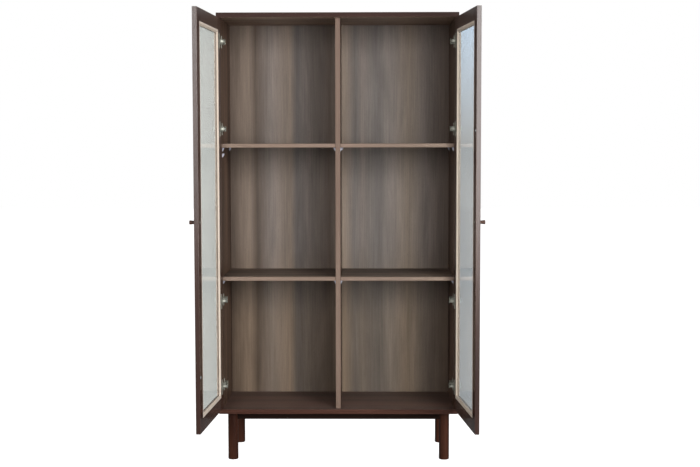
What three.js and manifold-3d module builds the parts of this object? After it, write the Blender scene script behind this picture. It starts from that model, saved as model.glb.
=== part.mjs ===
// A china cabinet: a two-bay carcass on a leg frame, with four shelves and two glazed doors.
//
// Millimetres. X runs to the right, Y from the front to the back, Z up from the floor.
// The doors stand open, as far as leftDoorAngle and rightDoorAngle say.
// The origin is on the floor, in the plane halfway between the two sides, and halfway between
// the free edges of the open doors and the back of the cabinet, to the nearest millimetre.

import * as THREE from "three";
import { mergeVertices } from "three/addons/utils/BufferGeometryUtils.js";
import Module from "manifold-3d";

// ---- Driving dimensions ----

const cabinetWidth = 1000;
const cabinetDepth = 400;
const cabinetHeight = 1870;
const legHeight = 200;

// Boards of the carcass.
const panelThickness = 20; // top and bottom
const sideThickness = 16;
const partitionThickness = 20;
const backThickness = 9;
const backRecess = 3.5; // back panel in from the cabinet's rear edge
const doorClearance = 3; // between the doors' inner faces and the carcass behind them
const fit = 0.3; // gap kept between pieces that touch
const overrun = 1; // a cutting shape runs this far past the face it cuts

// Shelves, on pins in rows of holes.
const shelfThickness = 16;
const shelfSetback = 3; // behind the front edges of the sides
const shelfGap = 1; // at each end and at the back
const compartmentHeight = 540; // clear height of the bottom and middle compartments
const pinRadius = 2.5;
const pinLength = 8;
const pinDrop = 7; // pin's axis below the shelf
const pinFromFront = 37; // behind the front edges of the sides
const pinFromBack = 40; // ahead of the back panel
const bracketHeight = 16;
const bracketReach = 9;
const bracketWidth = 9;
const bracketSheet = 1.6;
const webSetback = 1; // bracket's web in from the ends of its two flaps
const webShoulder = 5; // the web keeps its full reach this far down
const holePitch = 25;
const holeDepth = 9;
const holeClearance = 0.3;

// Leg frame.
const legRadius = 21.5;
const legFromSide = 54; // leg's axis in from the cabinet's outer face
const legFromFront = 45;
const legFromBack = 42;
const legChamfer = 2;
const apronHeight = 28;
const apronThickness = 20;

// Doors: a frame of four members, rebated on its inner face for the glass and its bead.
const doorThickness = 18;
const doorEdgeGap = 1.5; // hinge edge in from the cabinet's outer face
const doorMeetingGap = 3; // between the two doors when they are closed
const doorEndGap = 2; // above and below a door
const stileFace = 52; // width of a stile's inner face, up to the rebate
const topRailFace = 50;
const bottomRailFace = 53;
const beadWidth = 14;
const beadFlat = 8; // part of the bead's width that is level with the frame
const beadLow = 2.4; // height left at the bead's thin edge
const glassThickness = 4;
const glassGap = 1; // around the glass in its rebate
const frameLip = 6; // thickness of the lip in front of the glass

// Knobs and the small fittings of the doors.
const knobLength = 22;
const knobEndRadius = 8;
const knobNeckRadius = 5.8;
const knobEndEase = 1; // chamfer around its end
const knobEndBand = 3; // from its end to where the taper starts
const knobFromEdge = 25;
const screwRadius = 2;
const screwHeadRadius = 4.2;
const screwHeadHeight = 2.2;
const screwInKnob = 10;
const screwEndGap = 1; // left in the knob beyond the screw
const screwClearance = 0.4;
const bumperRadius = 5;
const bumperThickness = 2.2;
const bumperFromEdge = 9;
const leftBumperHeight = 441;
const rightBumperHeight = 1382;

// Hinges: a cup let into the door, and an arm fixed to the side, which meet at one pin.
const hingeFromEnd = 95; // outer hinges in from the door's ends
const hingeSpacing = 360; // from an outer hinge to the inner one next to it
const pivotInset = 7; // pin in from the door's hinge edge
const pivotDepth = 8; // pin below the door's inner face
const cupFromEdge = 3; // rim of the cup in from the hinge edge
const cupRadius = 17.5;
const cupDepth = 13;
const cupWall = 0.8;
const flangeThickness = 1.2;
const flangeRim = 1; // flange's overlap around the cup
const wingLength = 62;
const wingWidth = 16;
const wingOffset = 8.5; // wings' middle beyond the cup's middle
const hingePinRadius = 1;
const eyeRadius = 2.2;
const eyeClearance = 0.3;
const neckWidth = 8;
const neckSheet = 2.2;
const neckWidens = 0.62; // where the neck takes the arm's width, as a share of its length
const neckLap = 0.06; // the narrow part runs on into the wide one, as a share of its length
const armWidth = 20;
const armLength = 50;
const armOuterFace = 22.2; // from the pin, into the cabinet
const armLap = 3; // the arm's overlap with the end of its neck
const plateSheet = 2;
const plateLap = 0.5; // the arm's overlap with its plate
const plateBeyondArm = 5;
const plateWingLength = 50;
const plateWingWidth = 14;
const plateWingFromFront = 37; // behind the front edge of the side

// Middle of a hinge arm's neck, from the pin: into the cabinet, and to the back.
const neckCourse = [
  [0, 0],
  [5, -1.7],
  [9.5, -2.2],
  [16, -0.4],
  [21.5, 3.5],
  [25, 8.5],
  [26.2, 13],
  [24.6, 18.5],
  [armOuterFace - neckSheet / 2, 23],
  [armOuterFace - neckSheet / 2, 28],
];

// Door angles, in degrees open from closed.
const leftDoorAngle = 94;
const rightDoorAngle = 95.6;

// Sides of a many-sided round piece.
const legSides = 32;
const cupSides = 24;
const smallSides = 10;
const neckSteps = 24; // along the whole neck of a hinge arm

// ---- Places that follow from the dimensions ----

const halfWidth = cabinetWidth / 2;
const innerHalf = halfWidth - sideThickness;
const carcassFront = doorThickness + doorClearance; // front edges of sides and partition
const backFace = cabinetDepth - backRecess - backThickness; // front face of the back panel
const floorTop = legHeight + panelThickness; // upper face of the bottom panel
const ceiling = cabinetHeight - panelThickness; // under face of the top panel
const shelfTops = {
  lower: floorTop + compartmentHeight + shelfThickness,
  upper: floorTop + 2 * (compartmentHeight + shelfThickness),
};
const pinRows = [carcassFront + pinFromFront, backFace - pinFromBack];
const doorWidth = (cabinetWidth - 2 * doorEdgeGap - doorMeetingGap) / 2;
const doorBottom = floorTop + doorEndGap;
const doorTop = ceiling - doorEndGap;
const knobHeight = (doorBottom + doorTop) / 2;
const hingeHeights = [
  doorBottom + hingeFromEnd,
  doorBottom + hingeFromEnd + hingeSpacing,
  doorTop - hingeFromEnd - hingeSpacing,
  doorTop - hingeFromEnd,
];
const pivot = {
  x: halfWidth - doorEdgeGap - pivotInset,
  y: doorThickness - pivotDepth,
};
const cupMiddle = cupFromEdge + cupRadius;
const sideFromPin = pivot.x - innerHalf; // side's inner face, from the pin
const sideFrontFromPin = carcassFront - pivot.y;
const apronTop = legHeight - fit;
const apronBottom = apronTop - apronHeight;

// How far the open doors reach in front of the cabinet's front plane.
const doorReach = Math.max(
  ...[leftDoorAngle, rightDoorAngle].map((angle) => {
    const turn = THREE.MathUtils.degToRad(angle);
    return (doorWidth - pivotInset) * Math.sin(turn) - pivotDepth * Math.cos(turn) - pivot.y;
  }),
);

// ---- Finishes ----

function finish(color, roughness, metalness = 0) {
  return new THREE.MeshStandardMaterial({ color, roughness, metalness });
}

const walnut = finish(0x5d5048, 0.55);
const darkWood = finish(0x4a2d26, 0.4);
const nickel = finish(0xc9c6bf, 0.3, 1);
const clearGlass = finish(0xc4cbcc, 0.05);
clearGlass.transparent = true;
clearGlass.opacity = 0.35;
const creamPlastic = finish(0xe2d4bf, 0.45);
const paleRubber = finish(0xb9b4b0, 0.6);

// ---- Solids ----

const wasm = await Module();
wasm.setup();

// A closed geometry as a solid that can be cut and joined.
function toSolid(geometry) {
  const bare = geometry.index ? geometry.toNonIndexed() : geometry.clone();
  bare.deleteAttribute("normal");
  bare.deleteAttribute("uv");
  const merged = mergeVertices(bare);
  return new wasm.Manifold(
    new wasm.Mesh({
      numProp: 3,
      vertProperties: merged.attributes.position.array,
      triVerts: new Uint32Array(merged.index.array),
    }),
  );
}

function toGeometry(solid) {
  const { vertProperties, triVerts } = solid.getMesh();
  const geometry = new THREE.BufferGeometry();
  geometry.setAttribute("position", new THREE.BufferAttribute(vertProperties, 3));
  geometry.setIndex(new THREE.BufferAttribute(triVerts, 1));
  geometry.computeVertexNormals();
  return geometry;
}

function join(...geometries) {
  return toGeometry(geometries.map(toSolid).reduce((whole, piece) => whole.add(piece)));
}

function cut(geometry, ...tools) {
  return toGeometry(
    tools.map(toSolid).reduce((whole, tool) => whole.subtract(tool), toSolid(geometry)),
  );
}

// A box between its lowest and highest corners.
function block([x0, y0, z0], [x1, y1, z1]) {
  return new THREE.BoxGeometry(x1 - x0, y1 - y0, z1 - z0).translate(
    (x0 + x1) / 2,
    (y0 + y1) / 2,
    (z0 + z1) / 2,
  );
}

// A round bar along "x", "y" or "z", from a start point.
function bar(axis, [x, y, z], length, radius, sides = smallSides) {
  const geometry = new THREE.CylinderGeometry(radius, radius, length, sides);
  geometry.translate(0, length / 2, 0);
  if (axis === "x") geometry.rotateZ(-Math.PI / 2);
  if (axis === "z") geometry.rotateX(Math.PI / 2);
  return geometry.translate(x, y, z);
}

// A flat outline in X and Y, given a height in Z about the middle plane.
function slab(shape, height) {
  const options = { depth: height, bevelEnabled: false, curveSegments: smallSides };
  return new THREE.ExtrudeGeometry(shape, options).translate(0, 0, -height / 2);
}

function named(name, geometry, material) {
  const mesh = new THREE.Mesh(geometry, material);
  mesh.name = name;
  return mesh;
}

const cabinet = new THREE.Group();
// Left and right pieces are made once, for the left, and mirrored for the right.
const sides = [
  { name: "left", mirror: 1 },
  { name: "right", mirror: -1 },
];

// ---- Carcass ----

// The holes for shelf pins in one upright face, as bars to cut away. facing is 1 for a face that
// looks to +X and -1 for one that looks to -X.
function pinHoles(faceX, facing) {
  const holes = [];
  const start = facing > 0 ? faceX - holeDepth : faceX - overrun;
  for (const shelfTop of Object.values(shelfTops))
    for (const y of pinRows)
      for (const step of [-1, 0, 1]) {
        const z = shelfTop - shelfThickness - pinDrop + step * holePitch;
        const radius = pinRadius + holeClearance;
        holes.push(bar("x", [start, y, z], holeDepth + overrun, radius));
      }
  return holes;
}

function addCarcass() {
  for (const [name, low] of [
    ["bottom_panel", legHeight],
    ["top_panel", ceiling],
  ]) {
    const board = block([-halfWidth, 0, low], [halfWidth, cabinetDepth, low + panelThickness]);
    cabinet.add(named(name, board, darkWood));
  }

  const low = floorTop + fit;
  const high = ceiling - fit;
  for (const { name, mirror } of sides) {
    const board = block([-halfWidth, carcassFront, low], [-innerHalf, cabinetDepth, high]);
    const mesh = named(`${name}_side`, cut(board, ...pinHoles(-innerHalf, 1)), walnut);
    mesh.scale.x = mirror;
    cabinet.add(mesh);
  }

  const back = block(
    [-innerHalf + fit, backFace, low],
    [innerHalf - fit, backFace + backThickness, high],
  );
  cabinet.add(named("back_panel", back, walnut));

  const half = partitionThickness / 2;
  const partition = block([-half, carcassFront, low], [half, backFace - fit, high]);
  const holes = [...pinHoles(half, 1), ...pinHoles(-half, -1)];
  cabinet.add(named("centre_partition", cut(partition, ...holes), walnut));
}

// ---- Shelves and their pins ----

function addShelves() {
  const inner = partitionThickness / 2 + shelfGap;
  const outer = innerHalf - shelfGap;
  const front = carcassFront + shelfSetback;
  for (const [level, top] of Object.entries(shelfTops))
    for (const { name, mirror } of sides) {
      const board = block(
        [-outer, front, top - shelfThickness],
        [-inner, backFace - shelfGap, top],
      );
      const mesh = named(`${level}_${name}_shelf`, board, walnut);
      mesh.scale.x = mirror;
      cabinet.add(mesh);
    }
}

// An angle bracket with a web and a pin. Its upright lies on the plane X = 0, the pin goes into
// -X, and the shelf rests on Z = 0.
function shelfPin() {
  const upright = block(
    [fit, -bracketWidth / 2, -bracketHeight],
    [fit + bracketSheet, bracketWidth / 2, 0],
  );
  const seat = block(
    [fit, -bracketWidth / 2, -bracketSheet],
    [bracketReach, bracketWidth / 2, 0],
  );
  const web = new THREE.Shape();
  web.moveTo(fit, -bracketSheet / 2);
  web.lineTo(bracketReach - webSetback, -bracketSheet / 2);
  web.lineTo(bracketReach - webSetback, -webShoulder);
  web.lineTo(fit + bracketSheet, -bracketHeight + webSetback);
  web.lineTo(fit, -bracketHeight + webSetback);
  const gusset = slab(web, bracketSheet).rotateX(Math.PI / 2);
  const pin = bar("x", [-pinLength, 0, -pinDrop + fit], pinLength + bracketSheet, pinRadius);
  return join(upright, seat, gusset, pin);
}

// Only the upper shelves' pins are made here; they show below the shelf.
function addShelfPins() {
  const under = shelfTops.upper - shelfThickness - fit;
  for (const { name, mirror } of sides)
    for (const [end, x, turn] of [
      ["outer", -innerHalf, 1],
      ["inner", -partitionThickness / 2, -1],
    ])
      for (const [row, y] of [
        ["front", pinRows[0]],
        ["back", pinRows[1]],
      ]) {
        const mesh = named(`upper_${name}_${end}_${row}_shelf_pin`, shelfPin(), nickel);
        mesh.position.set(x * mirror, y, under);
        mesh.scale.x = turn * mirror;
        cabinet.add(mesh);
      }
}

// ---- Leg frame ----

const legX = halfWidth - legFromSide;
const legRows = { front: legFromFront, back: cabinetDepth - legFromBack };

function addLegFrame() {
  const length = legHeight - fit;
  const outline = [
    [0, 0],
    [legRadius - legChamfer, 0],
    [legRadius, legChamfer],
    [legRadius, length],
    [0, length],
  ].map(([r, z]) => new THREE.Vector2(r, z));
  const turned = new THREE.LatheGeometry(outline, legSides).rotateX(Math.PI / 2);
  for (const [row, y] of Object.entries(legRows))
    for (const { name, mirror } of sides) {
      const leg = named(`${row}_${name}_leg`, turned, darkWood);
      leg.position.set(-legX * mirror, y, 0);
      cabinet.add(leg);
    }

  // The aprons run from leg to leg and are scribed to their round faces.
  const seatLow = apronBottom - overrun;
  const seatLength = apronHeight + 2 * overrun;
  const seats = Object.values(legRows).flatMap((y) =>
    [-legX, legX].map((x) => bar("z", [x, y, seatLow], seatLength, legRadius + fit, legSides)),
  );
  const half = apronThickness / 2;
  for (const [row, y] of Object.entries(legRows)) {
    const rail = block([-legX, y - half, apronBottom], [legX, y + half, apronTop]);
    cabinet.add(named(`${row}_apron`, cut(rail, ...seats), darkWood));
  }
  for (const { name, mirror } of sides) {
    const x = -legX * mirror;
    const rail = block(
      [x - half, legRows.front, apronBottom],
      [x + half, legRows.back, apronTop],
    );
    cabinet.add(named(`${name}_apron`, cut(rail, ...seats), darkWood));
  }
}

// ---- Doors ----
//
// A door is made for the left, closed: X runs from its hinge edge to its free edge, Y from its
// outer face to its inner face, and Z is the height above the floor.

const openingBottom = doorBottom + bottomRailFace;
const openingTop = doorTop - topRailFace;
const stileWidth = stileFace + beadWidth;

function stiles() {
  const rebate = (x0) =>
    block(
      [x0, frameLip, openingBottom],
      [x0 + beadWidth + overrun, doorThickness + overrun, openingTop],
    );
  const hingeStile = cut(
    block([0, 0, doorBottom], [stileWidth, doorThickness, doorTop]),
    rebate(stileFace),
    ...hingeHeights.map((z) =>
      bar(
        "y",
        [cupMiddle, doorThickness - cupDepth - fit, z],
        cupDepth + fit + overrun,
        cupRadius + fit,
        cupSides,
      ),
    ),
  );
  const closingStile = cut(
    block([doorWidth - stileWidth, 0, doorBottom], [doorWidth, doorThickness, doorTop]),
    rebate(doorWidth - stileWidth - overrun),
    bar(
      "y",
      [doorWidth - knobFromEdge, -overrun, knobHeight],
      doorThickness + 2 * overrun,
      screwRadius + screwClearance,
    ),
  );
  return { hingeStile, closingStile };
}

function rails() {
  const x0 = stileWidth + fit;
  const x1 = doorWidth - stileWidth - fit;
  const rebate = (z0) =>
    block(
      [x0 - overrun, frameLip, z0],
      [x1 + overrun, doorThickness + overrun, z0 + beadWidth + overrun],
    );
  const bottomRail = cut(
    block([x0, 0, doorBottom], [x1, doorThickness, openingBottom + beadWidth]),
    rebate(openingBottom),
  );
  const topRail = cut(
    block([x0, 0, openingTop - beadWidth], [x1, doorThickness, doorTop]),
    rebate(openingTop - beadWidth - overrun),
  );
  return { bottomRail, topRail };
}

const glassOuter = frameLip + fit; // the glass's outer face
const glassInner = glassOuter + glassThickness;

function glassPane() {
  return block(
    [stileFace + glassGap, glassOuter, openingBottom + glassGap],
    [doorWidth - stileFace - glassGap, glassInner, openingTop - glassGap],
  );
}

// The bead is a mitred frame: its section turned four-sided, then pulled out to the opening.
function glazingBead() {
  const low = glassInner + fit;
  const reach = 2 * beadWidth;
  const section = [
    [0, low],
    [0, doorThickness],
    [beadFlat, doorThickness],
    [beadWidth, low + beadLow],
    [beadWidth, low],
    [0, low],
  ].map(([inset, y]) => new THREE.Vector2((reach - inset) * Math.SQRT2, y));
  const frame = new THREE.LatheGeometry(section, 4, Math.PI / 4);
  const halfX = doorWidth / 2 - stileFace - fit;
  const halfZ = (openingTop - openingBottom) / 2 - fit;
  const corners = frame.attributes.position;
  for (let i = 0; i < corners.count; i++) {
    corners.setX(i, corners.getX(i) + Math.sign(corners.getX(i)) * (halfX - reach));
    corners.setZ(i, corners.getZ(i) + Math.sign(corners.getZ(i)) * (halfZ - reach));
  }
  return frame.translate(doorWidth / 2, 0, (openingTop + openingBottom) / 2);
}

// A tapered knob, turned about Y, which starts at the door's outer face and runs to -Y.
function knob() {
  const bore = screwRadius + screwClearance;
  const boreEnd = screwInKnob + screwEndGap;
  const outline = [
    [0, knobLength],
    [knobEndRadius - knobEndEase, knobLength],
    [knobEndRadius, knobLength - knobEndEase],
    [knobEndRadius, knobLength - knobEndBand],
    [knobNeckRadius, fit],
    [bore, fit],
    [bore, boreEnd],
    [0, boreEnd],
  ].map(([r, y]) => new THREE.Vector2(r, y));
  return new THREE.LatheGeometry(outline.reverse(), legSides / 2)
    .rotateX(Math.PI)
    .translate(doorWidth - knobFromEdge, 0, knobHeight);
}

function knobScrew() {
  const x = doorWidth - knobFromEdge;
  const head = doorThickness + fit;
  const shank = screwInKnob + head + screwHeadHeight / 2;
  return join(
    bar("y", [x, -screwInKnob, knobHeight], shank, screwRadius),
    bar("y", [x, head, knobHeight], screwHeadHeight, screwHeadRadius),
  );
}

// The cup, its flange with two wings, and the hinge pin across its mouth.
function hingeCup(z) {
  const inner = cupRadius - cupWall;
  const bottom = doorThickness - cupDepth;
  const flange = doorThickness + fit;
  const top = flange + flangeThickness;
  const wing = block(
    [cupMiddle + wingOffset - wingWidth / 2, flange, z - wingLength / 2],
    [cupMiddle + wingOffset + wingWidth / 2, top, z + wingLength / 2],
  );
  const shell = join(
    bar("y", [cupMiddle, bottom, z], top - bottom, cupRadius, cupSides),
    bar("y", [cupMiddle, flange, z], flangeThickness, cupRadius + flangeRim, cupSides),
    wing,
  );
  const hollow = bar("y", [cupMiddle, bottom + cupWall, z], cupDepth * 2, inner, cupSides);
  // The pin's ends stop inside the cup's wall, at its outer surface.
  const reach = cupMiddle - pivotInset + hingePinRadius;
  const pinHalf = Math.sqrt(cupRadius ** 2 - reach ** 2);
  const pin = bar("z", [pivotInset, pivot.y, z - pinHalf], 2 * pinHalf, hingePinRadius);
  return join(cut(shell, hollow), pin);
}

function addDoor({ name, mirror }, angle, bumperHeight) {
  const door = new THREE.Group();
  door.position.set(-pivot.x * mirror, pivot.y, 0);
  door.rotation.z = THREE.MathUtils.degToRad(-angle) * mirror;
  door.scale.x = mirror;

  const { hingeStile, closingStile } = stiles();
  const { bottomRail, topRail } = rails();
  const bumper = bar(
    "y",
    [doorWidth - bumperFromEdge, doorThickness + fit, bumperHeight],
    bumperThickness,
    bumperRadius,
  );
  const pieces = [
    named(`${name}_door_hinge_stile`, hingeStile, darkWood),
    named(`${name}_door_closing_stile`, closingStile, darkWood),
    named(`${name}_door_bottom_rail`, bottomRail, darkWood),
    named(`${name}_door_top_rail`, topRail, darkWood),
    named(`${name}_door_glass`, glassPane(), clearGlass),
    named(`${name}_door_glazing_bead`, glazingBead(), creamPlastic),
    named(`${name}_door_knob`, knob(), darkWood),
    named(`${name}_door_knob_screw`, knobScrew(), nickel),
    named(`${name}_door_bumper`, bumper, paleRubber),
    ...hingeHeights.map((z, i) => named(`${name}_hinge_cup_${i + 1}`, hingeCup(z), nickel)),
  ];
  for (const piece of pieces) {
    piece.position.set(-pivotInset, -pivot.y, 0);
    door.add(piece);
  }
  cabinet.add(door);
}

// ---- Hinge arms ----
//
// An arm is made about its pin: X runs into the cabinet, Y to the back. Its neck dips into the
// cup, clears the cup's rim both ways, and comes back over the side.

const neckLine = new THREE.SplineCurve(neckCourse.map(([x, y]) => new THREE.Vector2(x, y)));

// The strip of sheet between two places along the neck's line.
function neckStrip(from, to, width) {
  const steps = Math.round(neckSteps * (to - from));
  const edges = [[], []];
  for (let i = 0; i <= steps; i++) {
    const t = from + ((to - from) * i) / steps;
    const middle = neckLine.getPoint(t);
    const along = neckLine.getTangent(t);
    const across = new THREE.Vector2(-along.y, along.x).multiplyScalar(neckSheet / 2);
    edges[0].push(middle.clone().add(across));
    edges[1].unshift(middle.clone().sub(across));
  }
  return slab(new THREE.Shape([...edges[0], ...edges[1]]), width);
}

function hingeArm() {
  const disc = (radius) => new THREE.Shape().absarc(0, 0, radius, 0, 2 * Math.PI);
  const eye = slab(disc(eyeRadius), neckWidth);
  const pinHole = slab(disc(hingePinRadius + eyeClearance), neckWidth + 2 * overrun);
  const neck = neckStrip(0, neckWidens + neckLap, neckWidth);
  const bend = neckStrip(neckWidens, 1, armWidth);
  const plateBottom = sideFromPin + fit;
  const armStart = neckLine.getPoint(1).y - armLap;
  const half = armWidth / 2;
  const arm = block(
    [plateBottom + plateSheet - plateLap, armStart, -half],
    [armOuterFace, armStart + armLength, half],
  );
  const plate = block(
    [plateBottom, armStart, -half],
    [plateBottom + plateSheet, armStart + armLength + plateBeyondArm, half],
  );
  const wingY = sideFrontFromPin + plateWingFromFront;
  const wings = block(
    [plateBottom, wingY - plateWingWidth / 2, -plateWingLength / 2],
    [plateBottom + plateSheet, wingY + plateWingWidth / 2, plateWingLength / 2],
  );
  return cut(join(neck, bend, eye, arm, plate, wings), pinHole);
}

function addHingeArms() {
  for (const { name, mirror } of sides)
    hingeHeights.forEach((z, i) => {
      const mesh = named(`${name}_hinge_arm_${i + 1}`, hingeArm(), nickel);
      mesh.position.set(-pivot.x * mirror, pivot.y, z);
      mesh.scale.x = mirror;
      cabinet.add(mesh);
    });
}

// ---- The whole cabinet ----

addCarcass();
addShelves();
addShelfPins();
addLegFrame();
addDoor(sides[0], leftDoorAngle, leftBumperHeight);
addDoor(sides[1], rightDoorAngle, rightBumperHeight);
addHingeArms();
cabinet.position.y = Math.round((doorReach - cabinetDepth) / 2);

const part = new THREE.Group();
part.add(cabinet);

export default part;
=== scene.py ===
import math

import bmesh
import bpy
from mathutils import Matrix, Vector


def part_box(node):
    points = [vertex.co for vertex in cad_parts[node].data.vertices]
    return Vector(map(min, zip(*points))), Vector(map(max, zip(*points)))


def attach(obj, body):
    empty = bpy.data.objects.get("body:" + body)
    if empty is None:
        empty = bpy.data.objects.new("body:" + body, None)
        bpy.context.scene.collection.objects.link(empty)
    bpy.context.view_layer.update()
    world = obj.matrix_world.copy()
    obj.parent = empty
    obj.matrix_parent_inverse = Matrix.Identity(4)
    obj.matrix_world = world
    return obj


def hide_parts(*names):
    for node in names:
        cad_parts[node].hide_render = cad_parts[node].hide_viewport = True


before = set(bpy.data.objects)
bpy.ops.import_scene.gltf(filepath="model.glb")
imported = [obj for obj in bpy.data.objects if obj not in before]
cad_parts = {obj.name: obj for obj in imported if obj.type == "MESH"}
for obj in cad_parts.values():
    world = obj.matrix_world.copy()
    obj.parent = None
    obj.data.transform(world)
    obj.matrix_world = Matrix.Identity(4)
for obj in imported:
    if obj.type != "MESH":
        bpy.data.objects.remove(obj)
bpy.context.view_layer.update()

# ---------------------------------------------------------------- camera
# It stands in front of the open cabinet, a little right of its middle and level with the
# upper shelf, and looks slightly down.
camera_place = (0.1107, -5.361, 1.3487)
camera_lens = 67.08
look_down, look_left, lean = (math.radians(a) for a in (4.12, 0.64, 0.09))

camera_data = bpy.data.cameras.new("camera")
camera_data.sensor_width = 36
camera_data.lens = camera_lens
camera = bpy.data.objects.new("camera", camera_data)
camera.matrix_world = (
    Matrix.Translation(camera_place)
    @ Matrix.Rotation(look_left, 4, "Z")
    @ Matrix.Rotation(-look_down, 4, "X")
    @ Matrix.Rotation(lean, 4, "Y")
    @ Matrix.Rotation(math.radians(90), 4, "X")
)
bpy.context.scene.collection.objects.link(camera)
bpy.context.scene.camera = camera
bpy.context.scene.view_settings.view_transform = "Standard"

# ---------------------------------------------------------------- studio
# A plain white floor and soft light: a pale sky all round, a wide lamp in front and to the
# right, and a weaker one on the left.
floor_half = 20.0
floor_shade, floor_shade_seen, floor_glow, floor_glow_seen = 0.35, 0.8, 0.03, 0.95
floor_rough, mottle_darkest = 0.9, 0.98
sky_seen, sky_light = 1.0, 0.25
white = (1, 1, 1, 1)
left_tint = (1.05, 1.06, 1.03, 1)  # of what is behind glass, to the left and to the right
right_tint, right_tint_high = (0.78, 0.81, 0.85, 1), (1.3, 1.58, 1.95, 1)
tint_rise = 0.1  # the rise over which the right tint turns into its high one
floor_reach, sky_reach = 0.6, 0.1  # how far to each side the left tint turns into the right
lamps_aim = Vector((0, 0.1, 1.0))
lamps = {  # place, width, height, power
    "right_lamp": ((2.95, -5.0, 2.15), 2.5, 3.0, 305),
    "left_lamp": ((-2.1, -5.3, 2.3), 1.0, 2.4, 85),
}


def put(tree, kind, inputs=None, **settings):
    """Adds a node. An input is given a value, or the socket that feeds it."""
    node = tree.nodes.new(kind)
    for name, value in settings.items():
        setattr(node, name, value)
    for name, value in (inputs or {}).items():
        if isinstance(value, bpy.types.NodeSocket):
            tree.links.new(value, node.inputs[name])
        else:
            node.inputs[name].default_value = value
    return node


def reckon(tree, operation, a, b=0.0, clamp=False):
    """One sum on two numbers, as a node."""
    return put(
        tree, "ShaderNodeMath", {0: a, 1: b}, operation=operation, use_clamp=clamp
    ).outputs[0]


def spread(tree, value, low=0.0, high=1.0, to_low=0.0, to_high=1.0):
    """A number carried over from one range to another, and kept between its ends."""
    return put(
        tree, "ShaderNodeMapRange",
        {"Value": value, "From Min": low, "From Max": high, "To Min": to_low, "To Max": to_high},
    ).outputs["Result"]


def noise(tree, place, scale, detail, **more):
    """Soft random variation over a place."""
    return put(
        tree, "ShaderNodeTexNoise", {"Vector": place, "Scale": scale, "Detail": detail, **more}
    ).outputs


def on_object(tree):
    """A place on the object itself."""
    return put(tree, "ShaderNodeTexCoord").outputs["Object"]


def axes(tree, place):
    """The X, Y and Z of a place."""
    return put(tree, "ShaderNodeSeparateXYZ", {0: place}).outputs


def mixed(tree, share, a, b, how="MIX"):
    """One mix of two colours, as a node."""
    return put(
        tree, "ShaderNodeMix", {0: share, 6: a, 7: b}, data_type="RGBA", blend_type=how
    ).outputs[2]


def finish_named(name):
    """A new material, its node tree and its Principled shader."""
    material = bpy.data.materials.new(name)
    material.use_nodes = True
    tree = material.node_tree
    return material, tree, tree.nodes["Principled BSDF"]


def seen_straight(tree):
    """One where the camera sees a thing itself or through glass, and none where it only lights."""
    ray = put(tree, "ShaderNodeLightPath").outputs
    return reckon(tree, "MAXIMUM", ray["Is Camera Ray"], ray["Is Transmission Ray"])


def unless_through_glass(tree, value):
    """The value, and none where it is seen through glass."""
    through = put(tree, "ShaderNodeLightPath").outputs["Is Transmission Ray"]
    return reckon(tree, "MULTIPLY", value, reckon(tree, "SUBTRACT", 1.0, through))


def tint_behind_glass(tree, way, reach):
    """White, with a tint where it is seen through glass, by how far it lies to the right."""
    way = axes(tree, way)
    tint_right = mixed(
        tree, spread(tree, way["Z"], high=tint_rise), right_tint, right_tint_high
    )
    tint = mixed(tree, spread(tree, way["X"], -reach, reach), left_tint, tint_right)
    through = put(tree, "ShaderNodeLightPath").outputs["Is Transmission Ray"]
    return mixed(tree, through, white, tint)


floor_mesh = bpy.data.meshes.new("floor")
floor_mesh.from_pydata(
    [(x * floor_half, y * floor_half, 0) for x, y in ((-1, -1), (1, -1), (1, 1), (-1, 1))],
    [],
    [(0, 1, 2, 3)],
)
floor_paint, tree, shader = finish_named("floor_paint")
mottle = put(tree, "ShaderNodeTexNoise", {"Scale": 3.0, "Detail": 3.0}).outputs["Fac"]
mottled = spread(tree, mottle, to_low=mottle_darkest)
paint = spread(tree, seen_straight(tree), to_low=floor_shade, to_high=floor_shade_seen)
paint = reckon(tree, "MULTIPLY", paint, mottled)
tree.links.new(unless_through_glass(tree, paint), shader.inputs["Base Color"])
shader.inputs["Roughness"].default_value = floor_rough
shader.inputs["Specular IOR Level"].default_value = 0.0
tint = tint_behind_glass(tree, on_object(tree), floor_reach)
tree.links.new(tint, shader.inputs["Emission Color"])
glow = spread(tree, seen_straight(tree), to_low=floor_glow, to_high=floor_glow_seen)
tree.links.new(glow, shader.inputs["Emission Strength"])
floor_paint.cycles.emission_sampling = "NONE"
floor_mesh.materials.append(floor_paint)
floor = bpy.data.objects.new("floor", floor_mesh)
bpy.context.scene.collection.objects.link(floor)

sky = bpy.data.worlds.new("sky")
sky.use_nodes = True
bpy.context.scene.world = sky
tree = sky.node_tree
background = tree.nodes["Background"].inputs
strength = spread(tree, seen_straight(tree), to_low=sky_light, to_high=sky_seen)
tree.links.new(strength, background["Strength"])
way = put(tree, "ShaderNodeTexCoord").outputs["Generated"]
tree.links.new(tint_behind_glass(tree, way, sky_reach), background["Color"])

for name, (place, width, tall, power) in lamps.items():
    lamp_data = bpy.data.lights.new(name, "AREA")
    lamp_data.shape = "RECTANGLE"
    lamp_data.size, lamp_data.size_y = width, tall
    lamp_data.energy = power
    lamp = bpy.data.objects.new(name, lamp_data)
    lamp.location = place
    aim = lamps_aim - Vector(place)
    lamp.rotation_euler = aim.to_track_quat("-Z", "Y").to_euler()
    bpy.context.scene.collection.objects.link(lamp)

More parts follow.
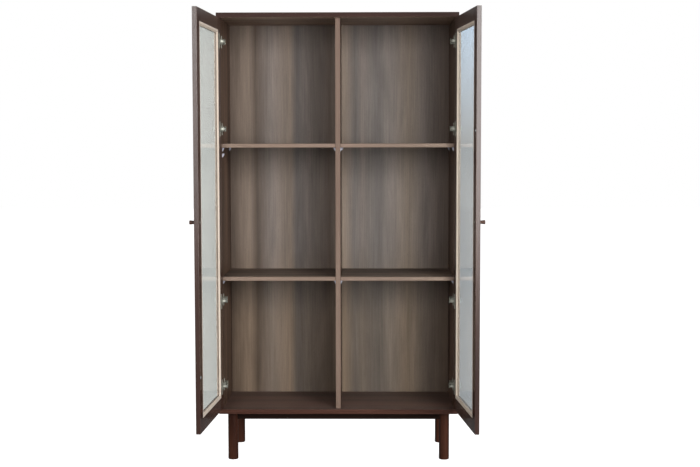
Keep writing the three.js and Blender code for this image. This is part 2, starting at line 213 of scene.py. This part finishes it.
# ---------------------------------------------------------------- sides and partition
# Two outer sides and the centre partition: chipboard boards with walnut veneer, the grain
# running up, their front edges closed with a paler edging. Screwed from the top and bottom.
side_ease = 0.0006
walnut_tones = ("33251e", "554439", "6b584b", "7e6a59")
side_tones = ("2e1d17", "49362b", "5b4537", "6e5444")
edging_tones = ("705b4f", "826d60")
pore_tone, dust_tone = "1d1512", "a39b92"
grain_turns = {"up": (0, 0, 0), "across": (0, math.pi / 2, 0), "inward": (math.pi / 2, 0, 0)}
figure_dark, figure_pale = 0.3, 0.7  # where the figure's noise counts as dark and as pale
cloud_light, smudge_light = (0.84, 1.14), (0.88, 1.04)  # least and most light in a leaf
polish_from, polish_to = 0.4, 1.3  # heights between which the low polish fades
merge_within = 1e-5
flat_turn, arris_turn = 1, 35  # degrees; edges that turn between these belong to round faces
faces_that_way = 0.7  # how far a face's normal reaches along an axis that it counts as facing


def linear(tone):
    """An sRGB tone, as six hex digits, as the linear colour that a shader takes."""
    parts = [int(tone[i : i + 2], 16) / 255 for i in (0, 2, 4)]
    return tuple(c / 12.92 if c <= 0.04045 else ((c + 0.055) / 1.055) ** 2.4 for c in parts) + (1,)


def effect(name, takes, gives):
    """A shader node group for an effect that several finishes share."""
    group = bpy.data.node_groups.new(name, "ShaderNodeTree")
    for label, kind, value in takes:
        socket = group.interface.new_socket(name=label, in_out="INPUT", socket_type=kind)
        if value is not None:
            socket.default_value = value
    for label, kind in gives:
        group.interface.new_socket(name=label, in_out="OUTPUT", socket_type=kind)
    return group, group.nodes.new("NodeGroupInput").outputs, group.nodes.new("NodeGroupOutput")


def tone_ramp(tree, share, tones):
    """A ramp through tones, given as (place, tone) or evenly spread."""
    if isinstance(tones[0], str):
        tones = [(i / (len(tones) - 1), t) for i, t in enumerate(tones)]
    node = put(tree, "ShaderNodeValToRGB", {"Fac": share})
    while len(node.color_ramp.elements) < len(tones):
        node.color_ramp.elements.new(0.5)
    for element, (at, tone) in zip(node.color_ramp.elements, tones):
        element.position = at
        element.color = linear(tone)
    return node.outputs["Color"]


wood_grain, given, result = effect(
    "wood_grain",
    [
        ("Place", "NodeSocketVector", None),
        ("Figure per Metre", "NodeSocketFloat", 14.0),
        ("Streaks per Metre", "NodeSocketFloat", 260.0),
        ("Waver", "NodeSocketFloat", 0.02),
    ],
    [("Figure", "NodeSocketFloat"), ("Streak", "NodeSocketFloat"), ("Pore", "NodeSocketFloat"),
     ("Height", "NodeSocketFloat")],
)


def stretched(tree, place, along):
    """A place with its Z drawn out, so that what it feeds runs along the grain."""
    return put(
        tree, "ShaderNodeVectorMath", {0: place, 1: (1, 1, along)}, operation="MULTIPLY"
    ).outputs[0]


sway = noise(wood_grain, stretched(wood_grain, given["Place"], 0.35), 4.0, 1.0)["Color"]
sway = put(
    wood_grain, "ShaderNodeVectorMath", {0: sway, 1: (0.5, 0.5, 0.5)}, operation="SUBTRACT"
).outputs[0]
sway = put(
    wood_grain, "ShaderNodeVectorMath", {0: sway, "Scale": given["Waver"]}, operation="SCALE"
).outputs[0]
swayed = put(
    wood_grain, "ShaderNodeVectorMath", {0: given["Place"], 1: sway}, operation="ADD"
).outputs[0]
figure = noise(
    wood_grain, stretched(wood_grain, swayed, 0.07), given["Figure per Metre"], 4.0,
    Roughness=0.6, Distortion=0.3,
)["Fac"]
streak = noise(
    wood_grain, stretched(wood_grain, swayed, 0.014), given["Streaks per Metre"], 3.0,
    Roughness=0.65,
)["Fac"]
speck = noise(wood_grain, stretched(wood_grain, swayed, 0.05), 1900.0, 1.0)["Fac"]
pore = spread(wood_grain, speck, 0.6, 0.7)
height = reckon(wood_grain, "SUBTRACT", streak, reckon(wood_grain, "MULTIPLY", pore, 0.6))
for label, socket in (("Figure", figure), ("Streak", streak), ("Pore", pore), ("Height", height)):
    wood_grain.links.new(socket, result.inputs[label])

edge_wear, given, result = effect(
    "edge_wear",
    [("Width", "NodeSocketFloat", 0.002), ("Amount", "NodeSocketFloat", 0.5)],
    [("Mask", "NodeSocketFloat")],
)
softened = put(edge_wear, "ShaderNodeBevel", {"Radius": given["Width"]}, samples=6)
surface = put(edge_wear, "ShaderNodeNewGeometry")
turned = put(
    edge_wear, "ShaderNodeVectorMath",
    {0: softened.outputs["Normal"], 1: surface.outputs["Normal"]}, operation="DOT_PRODUCT",
).outputs["Value"]
near = spread(edge_wear, turned, 0.995, 0.85)
rubbed = spread(edge_wear, noise(edge_wear, on_object(edge_wear), 45.0, 4.0)["Fac"], 0.38, 0.62)
worn = reckon(edge_wear, "MULTIPLY", near, rubbed)
edge_wear.links.new(
    reckon(edge_wear, "MULTIPLY", worn, given["Amount"], clamp=True), result.inputs["Mask"]
)

settled_dust, given, result = effect(
    "settled_dust", [("Amount", "NodeSocketFloat", 0.1)], [("Mask", "NodeSocketFloat")]
)
facing = axes(settled_dust, put(settled_dust, "ShaderNodeNewGeometry").outputs["Normal"])["Z"]
patches = noise(settled_dust, on_object(settled_dust), 9.0, 5.0, Roughness=0.7)["Fac"]
lying = reckon(settled_dust, "MULTIPLY", spread(settled_dust, facing, 0.6), patches)
settled_dust.links.new(
    reckon(settled_dust, "MULTIPLY", lying, given["Amount"], clamp=True), result.inputs["Mask"]
)


def use(tree, group, **inputs):
    """Places a shared effect in a material."""
    inputs = {name.replace("_", " "): value for name, value in inputs.items()}
    return put(tree, "ShaderNodeGroup", inputs, node_tree=group).outputs


def times(tree, a, b):
    """One colour multiplied by another, or by a number."""
    return mixed(tree, 1.0, a, b, "MULTIPLY")


def veneer_leaves(tree, place, figure, leaves):
    """Upright veneer leaves with their clouds and rings. leaves gives where they start and end
    and their tones."""
    low, high, tones = leaves
    across = spread(tree, axes(tree, place)["X"], low, high)
    waver = reckon(tree, "MULTIPLY", reckon(tree, "SUBTRACT", figure, 0.5), 0.03)
    shade = tone_ramp(tree, reckon(tree, "ADD", across, waver), tones)
    shade = times(tree, shade, spread(tree, figure, figure_dark, figure_pale, *cloud_light))
    rings = noise(tree, stretched(tree, place, 0.2), 11.0, 5.0, Roughness=0.6, Distortion=0.9)
    return times(tree, shade, spread(tree, rings["Fac"], 0.36, 0.6, *smudge_light))


def wood(name, runs, tones, streaks=0.14, pores=0.22, gloss=0.45, worn_tone="8d7564",
         wear=0.35, dust=0.1, figure=14.0, depth=0.00012, shine=0.22, leaves=None,
         shade_by_height=None, low_polish=0.0):
    """A wood finish with its grain running up, across or inward. leaves, where given, takes
    the place of the tones. The tint by height above the floor, where given, is painted shade
    that darkens the wood near the floor; low_polish is how much smoother the wood is near the
    floor than at shoulder height."""
    material, tree, shader = finish_named(name)
    here = on_object(tree)
    place = put(
        tree, "ShaderNodeMapping", {"Vector": here, "Rotation": grain_turns[runs]}
    ).outputs["Vector"]
    grain = use(tree, wood_grain, Place=place, Figure_per_Metre=figure)
    if leaves:
        shade = veneer_leaves(tree, place, grain["Figure"], leaves)
    else:
        share = spread(tree, grain["Figure"], figure_dark, figure_pale)
        shade = tone_ramp(tree, share, tones)
    # Painted shade: a tint by height above the floor, darker and warmer near the floor.
    if shade_by_height:
        top = shade_by_height[-1][0]
        stops = [(z / top, tint) for z, tint in shade_by_height]
        shade = times(tree, shade, tone_ramp(tree, spread(tree, axes(tree, here)["Z"], high=top),
                                             stops))
    line = spread(tree, grain["Streak"], 0.3, 0.72, 1.0 - streaks, 1.0 + streaks)
    shade = times(tree, shade, line)
    pore_share = reckon(tree, "MULTIPLY", grain["Pore"], pores)
    shade = mixed(tree, pore_share, shade, linear(pore_tone))
    mask = use(tree, edge_wear, Width=0.0025, Amount=wear)["Mask"]
    shade = mixed(tree, mask, shade, linear(worn_tone))
    film = use(tree, settled_dust, Amount=dust)["Mask"]
    shade = mixed(tree, film, shade, linear(dust_tone))
    tree.links.new(shade, shader.inputs["Base Color"])
    sheen = spread(tree, grain["Streak"], to_low=gloss - 0.08, to_high=gloss + 0.1)
    sheen = reckon(tree, "ADD", sheen, reckon(tree, "MULTIPLY", mask, 0.2))
    if low_polish:
        less = spread(tree, axes(tree, here)["Z"], polish_from, polish_to, low_polish, 0.0)
        sheen = reckon(tree, "SUBTRACT", sheen, less)
    tree.links.new(reckon(tree, "ADD", sheen, film, clamp=True), shader.inputs["Roughness"])
    bump = put(
        tree, "ShaderNodeBump", {"Height": grain["Height"], "Distance": depth, "Strength": 0.6}
    )
    tree.links.new(bump.outputs["Normal"], shader.inputs["Normal"])
    shader.inputs["Specular IOR Level"].default_value = shine
    return material


def any_face(face):
    return True


def front_face(face):
    return face.normal.y < -faces_that_way


def finished(node, body, finishes, ease=0.0, steps=2, longer_than=0.0, suffix="piece"):
    """Copies the solid of a node, joins its corners, eases its arrises that are
    longer than longer_than and gives it finishes. finishes is one material, or (material,
    test of a face) pairs, of which a face takes the first that fits."""
    shape = bmesh.new()
    shape.from_mesh(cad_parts[node].data)
    bmesh.ops.remove_doubles(shape, verts=shape.verts, dist=merge_within)
    bmesh.ops.dissolve_limit(
        shape, angle_limit=math.radians(0.5), verts=shape.verts, edges=shape.edges
    )

    def turn(edge):
        return math.degrees(edge.calc_face_angle(0.0))

    for face in shape.faces:
        face.smooth = any(flat_turn < turn(edge) < arris_turn for edge in face.edges)
    if ease:
        arrises = [
            e for e in shape.edges if turn(e) > arris_turn and e.calc_length() > longer_than
        ]
        rounded = bmesh.ops.bevel(
            shape, geom=arrises, offset=ease, segments=steps, profile=0.5, affect="EDGES",
            clamp_overlap=True,
        )
        for face in rounded["faces"]:
            face.smooth = True
    finishes = finishes if isinstance(finishes, list) else [(finishes, any_face)]
    shape.normal_update()
    for face in shape.faces:
        face.material_index = next(i for i, (_, fits) in enumerate(finishes) if fits(face))
    for edge in shape.edges:
        edge.smooth = turn(edge) < arris_turn
    mesh = bpy.data.meshes.new(f"{node}_{suffix}")
    shape.to_mesh(mesh)
    shape.free()
    for material, _ in finishes:
        mesh.materials.append(material)
    piece = bpy.data.objects.new(f"{node}_{suffix}", mesh)
    bpy.context.scene.collection.objects.link(piece)
    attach(piece, body)
    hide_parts(node)
    return piece


walnut_up = wood("walnut_up", "up", side_tones, figure=16.0)
edging_up = wood("edging_up", "up", edging_tones, streaks=0.07, pores=0.08, gloss=0.5, wear=0.1)
for node in ("left_side", "right_side", "centre_partition"):
    finished(node, "cabinet", [(edging_up, front_face), (walnut_up, any_face)],
             ease=side_ease, longer_than=0.05, suffix="board")

# ---------------------------------------------------------------- back panel
# A thin veneered panel let into a rebate of the sides, top and bottom and pinned from behind.
# Its veneer is laid in upright leaves of changing tone.
leaf_tan, leaf_pale, leaf_grey, leaf_dark = "9a897b", "8c8079", "756d69", "67594f"
leaf_places = [  # how far to the right of the cabinet's middle each leaf's tone is at its fullest
    (-0.48, leaf_dark), (-0.40, leaf_tan), (-0.37, leaf_dark), (-0.30, leaf_pale),
    (-0.22, leaf_tan), (-0.19, leaf_grey), (-0.14, leaf_pale), (-0.04, leaf_dark),
    (0.02, leaf_tan), (0.07, leaf_grey), (0.10, leaf_pale), (0.16, leaf_grey),
    (0.24, leaf_pale), (0.30, leaf_tan), (0.38, leaf_pale), (0.48, leaf_dark),
]
panel_left, panel_right = leaf_places[0][0], leaf_places[-1][0]
leaf_tones = [((x - panel_left) / (panel_right - panel_left), tone) for x, tone in leaf_places]
# Painted shade: the back panel's veneer is tinted warmer and a little darker below about 0.55 m,
# fading out by 0.9 m.
back_painted_shade = [(0.0, "eee7db"), (0.55, "eee7db"), (0.9, "ffffff"), (1.87, "f8f8f8")]
back_walnut = wood("back_walnut", "up", walnut_tones, figure=20.0,
                   leaves=(panel_left, panel_right, leaf_tones), shade_by_height=back_painted_shade)
finished("back_panel", "cabinet", back_walnut, ease=0.0004,
         longer_than=0.05, suffix="veneered")

# ---------------------------------------------------------------- top and bottom panels
# Two thick dark-stained boards that cover the sides' ends, their grain running across and
# their front edge shaped square with a small round. The top one is darker still as painted
# shade, and its underside is walnut veneer made paler as painted light.
stain_tones = ("391f18", "4f3127", "603e31")
shaded_tones = ("261713", "34231e", "3f2b26")
stain_across = wood("stain_across", "across", stain_tones, streaks=0.2, gloss=0.36,
                    worn_tone="7a5546", wear=0.5, dust=0.28, figure=10.0, shine=0.2)
# Painted shade: the top panel's dark stain is given darker tones than the bottom panel's.
shaded_top_stain = wood("shaded_top_stain", "across", shaded_tones, streaks=0.2, gloss=0.36,
                 worn_tone="5a4036", wear=0.4, figure=10.0, shine=0.1)
walnut_across = wood("walnut_across", "across", walnut_tones, figure=16.0, dust=0.18)
# The top panel's underside is walnut veneer, in tones paler than the other veneer as painted
# light.
ceiling_lit_tones = ("523e32", "80695a", "9a8271", "b19883")
ceiling_lit_walnut = wood("ceiling_lit_walnut", "across", ceiling_lit_tones, figure=16.0)


def under_face(face):
    return face.normal.z < -faces_that_way


finished("top_panel", "cabinet",
         [(ceiling_lit_walnut, under_face), (shaded_top_stain, any_face)], ease=0.0014, steps=3,
         longer_than=0.05, suffix="board")
finished("bottom_panel", "cabinet", stain_across, ease=0.0014, steps=3,
         longer_than=0.05, suffix="board")

# ---------------------------------------------------------------- shelves
# Four loose shelves of veneered board, grain across, with the paler edging on the front.
shelf_edging_tones = ("7b6759", "8d786b")
edging_across = wood("edging_across", "across", shelf_edging_tones, streaks=0.07,
                     pores=0.08, gloss=0.5, wear=0.1)
shelves = [f"{level}_{side}_shelf" for level in ("lower", "upper") for side in ("left", "right")]
for node in shelves:
    finished(node, "cabinet",
             [(edging_across, front_face), (walnut_across, any_face)], ease=0.0006,
             longer_than=0.05, suffix="board")

# ---------------------------------------------------------------- shelf pins
# Bright L-shaped steel brackets with a gusset, each with a round pin pushed into a hole. The
# upper shelves' brackets are in the model; the lower shelves stand on eight more, and a spare
# one waits in the hole under the left front one.
def metal(name, tones, rough, metallic, wear_tone="d9d6d0"):
    """A plated metal with fine brushing, spots and rubbed edges."""
    material, tree, shader = finish_named(name)
    here = on_object(tree)
    cloud = noise(tree, here, 180.0, 4.0)["Fac"]
    brush = noise(tree, stretched(tree, here, 0.05), 1400.0, 2.0)["Fac"]
    mask = use(tree, edge_wear, Width=0.0008, Amount=0.6)["Mask"]
    shade = mixed(tree, mask, tone_ramp(tree, cloud, tones), linear(wear_tone))
    tree.links.new(shade, shader.inputs["Base Color"])
    shader.inputs["Metallic"].default_value = metallic
    dull = spread(tree, brush, to_low=rough - 0.08, to_high=rough + 0.12)
    tree.links.new(dull, shader.inputs["Roughness"])
    bump = put(tree, "ShaderNodeBump", {"Height": brush, "Distance": 0.00002, "Strength": 0.5})
    tree.links.new(bump.outputs["Normal"], shader.inputs["Normal"])
    return material


hole_pitch = 0.025
outer_left_of, front_before = -0.45, 0.2  # bound the left outer pins and the front ones
shelf_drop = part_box("upper_left_shelf")[0].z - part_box("lower_left_shelf")[0].z
pale_zinc = metal("pale_zinc", ("c6c6d2", "e4e4f0"), 0.4, metallic=0.45)
upper_pins = [
    finished(f"upper_{side}_{end}_{row}_shelf_pin", "cabinet", pale_zinc,
             ease=0.0002, steps=1, suffix="bracket")
    for side in ("left", "right") for end in ("outer", "inner") for row in ("front", "back")
]


def nodes_for(name, takes):
    """A Geometry Nodes tree that takes a shape and named sizes and gives a shape."""
    tree = bpy.data.node_groups.new(name, "GeometryNodeTree")
    tree.interface.new_socket(name="Shape", in_out="INPUT", socket_type="NodeSocketGeometry")
    for label, kind in takes:
        tree.interface.new_socket(name=label, in_out="INPUT", socket_type=kind)
    tree.interface.new_socket(name="Shape", in_out="OUTPUT", socket_type="NodeSocketGeometry")
    given = tree.nodes.new("NodeGroupInput").outputs
    return tree, given, tree.nodes.new("NodeGroupOutput")


def end_with(tree, shape, finish, result):
    """Ends a tree: makes its copies real and gives them their finish."""
    real = put(tree, "GeometryNodeRealizeInstances", {"Geometry": shape})
    painted = put(
        tree, "GeometryNodeSetMaterial", {"Geometry": real.outputs[0], "Material": finish}
    )
    tree.links.new(painted.outputs[0], result.inputs["Shape"])


def grown(name, mesh, tree, body, sizes):
    """Runs a tree on a mesh with its named sizes and keeps the result as a plain mesh."""
    seed = bpy.data.objects.new(f"{name}_seed", mesh)
    bpy.context.scene.collection.objects.link(seed)
    steps = seed.modifiers.new("make", "NODES")
    steps.node_group = tree
    for item in tree.interface.items_tree:
        if item.in_out == "INPUT" and item.name in sizes:
            steps[item.identifier] = sizes[item.name]
    view = bpy.context.evaluated_depsgraph_get()
    made = bpy.data.meshes.new_from_object(seed.evaluated_get(view), depsgraph=view)
    bpy.data.objects.remove(seed)
    made.name = name
    piece = bpy.data.objects.new(name, made)
    bpy.context.scene.collection.objects.link(piece)
    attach(piece, body)
    return piece


brackets_below, given, result = nodes_for(
    "brackets_below",
    [("Shelf Drop", "NodeSocketFloat"), ("Hole Pitch", "NodeSocketFloat"),
     ("Finish", "NodeSocketMaterial")],
)


def lowered(shape, drop):
    """The shape moved straight down."""
    down = put(
        brackets_below, "ShaderNodeCombineXYZ",
        {"Z": reckon(brackets_below, "MULTIPLY", drop, -1.0)},
    )
    point = put(
        brackets_below, "GeometryNodeMeshLine", {"Count": 1, "Start Location": down.outputs[0]}
    )
    return put(
        brackets_below, "GeometryNodeInstanceOnPoints",
        {"Points": point.outputs[0], "Instance": shape},
    ).outputs[0]


at = axes(brackets_below, put(brackets_below, "GeometryNodeInputPosition").outputs[0])
outer = reckon(brackets_below, "LESS_THAN", at["X"], outer_left_of)
front = reckon(brackets_below, "LESS_THAN", at["Y"], front_before)
left_front = put(
    brackets_below, "GeometryNodeSeparateGeometry",
    {"Geometry": given["Shape"], "Selection": reckon(brackets_below, "MULTIPLY", outer, front)},
)
whole = put(brackets_below, "GeometryNodeJoinGeometry")
for shape in (
    lowered(given["Shape"], given["Shelf Drop"]),
    lowered(left_front.outputs["Selection"], given["Hole Pitch"]),
):
    brackets_below.links.new(shape, whole.inputs[0])
end_with(brackets_below, whole.outputs[0], given["Finish"], result)

all_upper = bmesh.new()
for pin in upper_pins:
    all_upper.from_mesh(pin.data)
upper_set = bpy.data.meshes.new("upper_set")
all_upper.to_mesh(upper_set)
all_upper.free()
grown("lower_shelf_brackets", upper_set, brackets_below, "cabinet",
      {"Shelf Drop": shelf_drop, "Hole Pitch": hole_pitch, "Finish": pale_zinc})

# ---------------------------------------------------------------- leg frame
# Solid round legs, chamfered at the foot, and four rails between them under the bottom panel,
# all stained dark, the rails near black as painted shade. The rails are tenoned into the legs.
leg_tones = ("2f1811", "43261b", "523022")
# Painted shade: the rails, in shadow under the bottom panel, take tones near black, darker than
# the legs.
shaded_rail_tones = ("1a0f0c", "251813", "2e1f1a")
stain_leg = wood("stain_leg", "up", leg_tones, streaks=0.2, gloss=0.3, worn_tone="7a5546",
                 wear=0.5, figure=18.0, shine=0.13)
shaded_rail_across, shaded_rail_inward = (
    wood(f"rail_{runs}", runs, shaded_rail_tones, streaks=0.2, gloss=0.4, worn_tone="5f4538",
         wear=0.4, figure=10.0, shine=0.05)
    for runs in ("across", "inward")
)
for row in ("front", "back"):
    for side in ("left", "right"):
        finished(f"{row}_{side}_leg", "cabinet", stain_leg, suffix="turned")
    finished(f"{row}_apron", "cabinet", shaded_rail_across, ease=0.001,
             longer_than=0.01, suffix="rail")
for side in ("left", "right"):
    finished(f"{side}_apron", "cabinet", shaded_rail_inward, ease=0.001,
             longer_than=0.01, suffix="rail")

# ---------------------------------------------------------------- door frames
# Each door is a frame of two upright stiles with two rails between them, solid stained wood.
# The doors stand open, so their rails run inward.
stile_tones, door_rail_tones = ("382420", "4b3730", "5b463e"), ("3d2c26", "51403a", "614f46")
# Painted shade: the stiles are tinted darker and redder below about 0.45 m, fading out by about
# 1.1 m.
stile_painted_shade = [(0.0, "ddc0b0"), (0.45, "ddc0b0"), (1.12, "fff3ee"), (1.87, "f2f0f0")]
door_up, door_inward = (
    wood(f"door_{runs}", runs, tones, streaks=0.2, gloss=0.34, worn_tone="7d5f52",
         wear=0.5, figure=12.0, shine=0.7, shade_by_height=tint, low_polish=0.17)
    for runs, tones, tint in (
        ("up", stile_tones, stile_painted_shade), ("inward", door_rail_tones, None)
    )
)
for side in ("left", "right"):
    body = f"{side}_door"
    for part in ("hinge_stile", "closing_stile"):
        finished(f"{side}_door_{part}", body, door_up, ease=0.001,
                 longer_than=0.02, suffix="stick")
    for part in ("bottom_rail", "top_rail"):
        finished(f"{side}_door_{part}", body, door_inward, ease=0.0006,
                 longer_than=0.02, suffix="stick")

# ---------------------------------------------------------------- glass
# One clear float glass pane in each door, four millimetres thick, held in the frame's rebate.
smeared_glass = (0.9, 0.93, 0.92, 1)
clear_pane, tree, shader = finish_named("clear_pane")
shader.inputs["Transmission Weight"].default_value = 1.0
shader.inputs["IOR"].default_value = 1.5
smear = noise(tree, on_object(tree), 5.0, 6.0, Roughness=0.7)["Fac"]
filmed = mixed(tree, spread(tree, smear, 0.5, 0.7), (0.93, 0.97, 0.96, 1), smeared_glass)
tree.links.new(filmed, shader.inputs["Base Color"])
shader.inputs["Roughness"].default_value = 0.0
open_shader = put(tree, "ShaderNodeBsdfTransparent", {"Color": smeared_glass})
either = put(
    tree, "ShaderNodeMixShader",
    {0: put(tree, "ShaderNodeLightPath").outputs["Is Shadow Ray"], 1: shader.outputs[0],
     2: open_shader.outputs[0]},
)
tree.links.new(either.outputs[0], tree.nodes["Material Output"].inputs["Surface"])
for side in ("left", "right"):
    finished(f"{side}_door_glass", f"{side}_door", clear_pane, ease=0.0004,
             suffix="pane")

# ---------------------------------------------------------------- glazing bead
# A soft cream strip, mitred round the pane on the inner side of each door and pressed into
# the rebate.
bead_plastic, tree, shader = finish_named("bead_plastic")
here = on_object(tree)
cloud = noise(tree, here, 14.0, 5.0)["Fac"]
shade = tone_ramp(tree, cloud, ("dfcdbc", "ebdbcc", "f3e5d7"))
grime = use(tree, edge_wear, Width=0.0015, Amount=0.35)["Mask"]
shade = mixed(tree, grime, shade, linear("b79f82"))
tree.links.new(shade, shader.inputs["Base Color"])
peel = noise(tree, here, 900.0, 2.0)["Fac"]
bump = put(tree, "ShaderNodeBump", {"Height": peel, "Distance": 0.00003, "Strength": 0.4})
tree.links.new(bump.outputs["Normal"], shader.inputs["Normal"])
tree.links.new(spread(tree, cloud, to_low=0.3, to_high=0.5), shader.inputs["Roughness"])


def retoned(name, tones):
    """The bead's plastic once more, in other tones."""
    other = bead_plastic.copy()
    other.name = name
    ramp = next(n for n in other.node_tree.nodes if n.type == "VALTORGB").color_ramp
    for element, tone in zip(ramp.elements, tones):
        element.color = linear(tone)
    return other


def flat_of_strip(face):
    return abs(face.normal.x) > 0.97


def edge_of_strip(face):
    return abs(face.normal.x) < 0.3


# Painted shadow: the strip's thin edges are dark brown. Painted shade: its sloping lip is a little
# darker than its flat face.
shaded_lip_plastic = retoned("shaded_lip_plastic", ("cfbeac", "dccbba", "e6d7c8"))
shadowed_bead_edge = retoned("shadowed_bead_edge", ("5d4a3d", "6d594b", "7b6657"))
bead_finishes = [
    (bead_plastic, flat_of_strip), (shadowed_bead_edge, edge_of_strip), (shaded_lip_plastic, any_face)
]
for side in ("left", "right"):
    finished(f"{side}_door_glazing_bead", f"{side}_door", bead_finishes,
             ease=0.0004, suffix="strip")

# ---------------------------------------------------------------- knobs
# A small turned wooden knob near each closing edge, held by a screw from the inner face.
stain_knob = wood("stain_knob", "across", ("3a211a", "52301f", "6a4030"), streaks=0.2,
                  gloss=0.35, worn_tone="8a5e48", wear=0.3, figure=60.0, shine=0.5)
satin_nickel = metal("satin_nickel", ("a0a094", "bebeb2"), 0.5, metallic=0.7)
for side in ("left", "right"):
    finished(f"{side}_door_knob", f"{side}_door", stain_knob, suffix="turned")
    finished(f"{side}_door_knob_screw", f"{side}_door", satin_nickel, suffix="fixing")

# ---------------------------------------------------------------- bumpers
# A clear soft dome stuck to the inner face of each door, so that it closes without a knock.
clear_rubber, tree, shader = finish_named("clear_rubber")
haze = noise(tree, on_object(tree), 300.0, 3.0)["Fac"]
tree.links.new(tone_ramp(tree, haze, ("c9cdd0", "e6eaec")), shader.inputs["Base Color"])
shader.inputs["Transmission Weight"].default_value = 0.6
tree.links.new(spread(tree, haze, to_low=0.15, to_high=0.35), shader.inputs["Roughness"])
for side in ("left", "right"):
    finished(f"{side}_door_bumper", f"{side}_door", clear_rubber, suffix="dome")

# ---------------------------------------------------------------- hinges
# Four concealed hinges on each side: a pressed cup let into the stile and screwed by its
# wings, a neck, and an arm on a plate that is screwed to the side.
for side in ("left", "right"):
    for i in range(1, 5):
        finished(f"{side}_hinge_cup_{i}", f"{side}_door", satin_nickel, ease=0.0002,
                 steps=1, longer_than=0.002, suffix="pressed")
        finished(f"{side}_hinge_arm_{i}", "cabinet", satin_nickel, ease=0.0003,
                 steps=1, longer_than=0.002, suffix="pressed")


screw_heads, given, result = nodes_for(
    "screw_heads",
    [("Head Radius", "NodeSocketFloat"), ("Head Height", "NodeSocketFloat"),
     ("Slot Width", "NodeSocketFloat"), ("Finish", "NodeSocketMaterial")],
)


def part_of(label, share):
    """A share of one of the tree's named sizes."""
    return reckon(screw_heads, "MULTIPLY", given[label], share)


head_taper = 0.72  # the top's radius, as a share of the head's
slot_beyond, slot_reach = 1.2, 1.1  # a slot's height and length, in head heights and radii
head = put(
    screw_heads, "GeometryNodeMeshCone",
    {"Vertices": 20, "Side Segments": 2, "Radius Top": part_of("Head Radius", head_taper),
     "Radius Bottom": given["Head Radius"], "Depth": given["Head Height"]},
).outputs["Mesh"]
cross = put(screw_heads, "GeometryNodeJoinGeometry")
for long_way in ("X", "Y"):
    size = {"Z": part_of("Head Height", slot_beyond)}
    for way in ("X", "Y"):
        size[way] = part_of("Head Radius", slot_reach) if way == long_way else given["Slot Width"]
    bar = put(
        screw_heads, "GeometryNodeMeshCube",
        {"Size": put(screw_heads, "ShaderNodeCombineXYZ", size).outputs[0]},
    )
    risen = put(screw_heads, "ShaderNodeCombineXYZ", {"Z": given["Head Height"]})
    bar = put(
        screw_heads, "GeometryNodeTransform",
        {"Geometry": bar.outputs["Mesh"], "Translation": risen.outputs[0]},
    )
    screw_heads.links.new(bar.outputs[0], cross.inputs[0])
slotted = put(
    screw_heads, "GeometryNodeMeshBoolean", {"Mesh 1": head}, operation="DIFFERENCE",
    solver="EXACT",
)
slotted.inputs["Self Intersection"].default_value = True
screw_heads.links.new(cross.outputs[0], slotted.inputs["Mesh 2"])
way = put(screw_heads, "GeometryNodeInputNamedAttribute", {"Name": "facing"},
          data_type="FLOAT_VECTOR")
turn_to = put(
    screw_heads, "FunctionNodeAlignRotationToVector", {"Vector": way.outputs["Attribute"]},
    axis="Z",
)
placed = put(
    screw_heads, "GeometryNodeInstanceOnPoints",
    {"Points": given["Shape"], "Instance": slotted.outputs["Mesh"],
     "Rotation": turn_to.outputs[0]},
)
end_with(screw_heads, placed.outputs[0], given["Finish"], result)


wing_head, plate_head = (0.0034, 0.0008), (0.0032, 0.0007)  # radius and height
slot_width = 0.0009


def screws(name, body, spots, head_size):
    """Screw heads at spots, each a place and the way it faces."""
    marks = bpy.data.meshes.new(f"{name}_marks")
    marks.from_pydata([place for place, _ in spots], [], [])
    facing = marks.attributes.new("facing", "FLOAT_VECTOR", "POINT")
    for i, (_, direction) in enumerate(spots):
        facing.data[i].vector = direction
    radius, height = head_size
    return grown(name, marks, screw_heads, body,
                 {"Head Radius": radius, "Head Height": height, "Slot Width": slot_width,
                  "Finish": satin_nickel})


hinge_heights = (0.317, 0.677, 1.393, 1.753)
pivot = {"left": Vector((-0.4915, 0.050, 0)), "right": Vector((0.4915, 0.050, 0))}
open_angle = {"left": math.radians(-94), "right": math.radians(95.6)}
wing_from_pivot, flange_from_pivot, wing_screw_rise = 0.022, 0.0092, 0.023
plate_wing, plate_face, plate_screw_rise = 0.098, 0.482, 0.018
arm_face, arm_screws = 0.4693, (0.083, 0.1)
plate_spots = []
for side, out in (("left", 1), ("right", -1)):
    turn_door = Matrix.Rotation(open_angle[side], 4, "Z")
    wing_spots = []
    for z in hinge_heights:
        for rise in (-1, 1):
            spot = turn_door @ Vector((out * wing_from_pivot, flange_from_pivot, 0))
            place = pivot[side] + spot + Vector((0, 0, z + rise * wing_screw_rise))
            wing_spots.append((place, turn_door @ Vector((0, 1, 0))))
            plate_spots.append((
                (-out * plate_face, plate_wing, z + rise * plate_screw_rise), (out, 0, 0)
            ))
        for y in arm_screws:
            plate_spots.append(((-out * arm_face, y, z), (out, 0, 0)))
    screws(f"{side}_door_hinge_screws", f"{side}_door", wing_spots, wing_head)
screws("plate_screws", "cabinet", plate_spots, plate_head)
